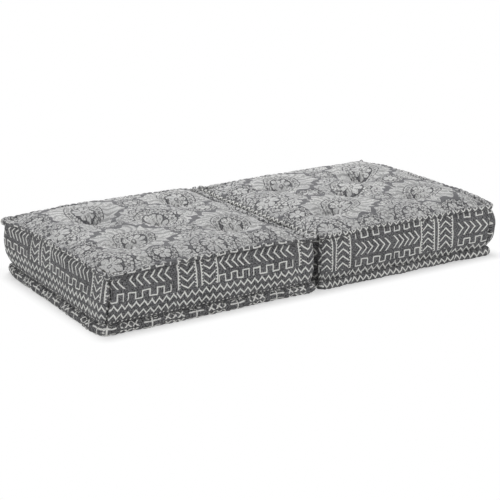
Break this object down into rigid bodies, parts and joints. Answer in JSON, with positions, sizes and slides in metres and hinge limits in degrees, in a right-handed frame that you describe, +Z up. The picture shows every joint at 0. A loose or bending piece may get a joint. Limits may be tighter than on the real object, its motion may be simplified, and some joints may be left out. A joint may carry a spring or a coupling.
{
  "type": "modular floor sofa",
  "caption": "Low floor seat of square boxed mattress cushions with tufted crowns and hand-rolled edges, joined along their top edges so that one folds over onto the other.",
  "frame": {"origin": "on the floor, under the middle of the joint between the two cushions", "axes": "+X along the two cushions, towards the right one; +Z up; -Y towards the front"},
  "size_m": [1.201, 0.6, 0.1713],
  "materials": {
    "damask_cloth": "printed cotton canvas, light grey damask on charcoal",
    "mudcloth": "printed cotton canvas, pale line pattern on charcoal",
    "foam": "open-cell upholstery foam",
    "wadding": "carded cotton wadding",
    "twine": "waxed flat tufting twine"
  },
  "bodies": {
    "left_cushion": {"left_foam_core": "foam", "left_side_wadding": "wadding", "left_top_wadding": "wadding", "left_bottom_wadding": "wadding", "left_top_panel": "damask_cloth", "left_bottom_panel": "mudcloth", "left_side_band": "mudcloth", "left_top_roll": "damask_cloth", "left_bottom_roll": "mudcloth", "left_tuft_ties": "twine", "hinge_strip": "mudcloth"},
    "right_cushion": {"right_foam_core": "foam", "right_side_wadding": "wadding", "right_top_wadding": "wadding", "right_bottom_wadding": "wadding", "right_top_panel": "damask_cloth", "right_bottom_panel": "mudcloth", "right_side_band": "mudcloth", "right_top_roll": "damask_cloth", "right_bottom_roll": "mudcloth", "right_tuft_ties": "twine"}
  },
  "joints": [
    {"name": "cushion_fold", "type": "hinge", "parent": "left_cushion", "child": "right_cushion", "pos_m": [0, 0, 0.1735], "axis": [0, -1, 0], "range_deg": [0, 180], "deforming": ["hinge_strip"]}
  ]
}
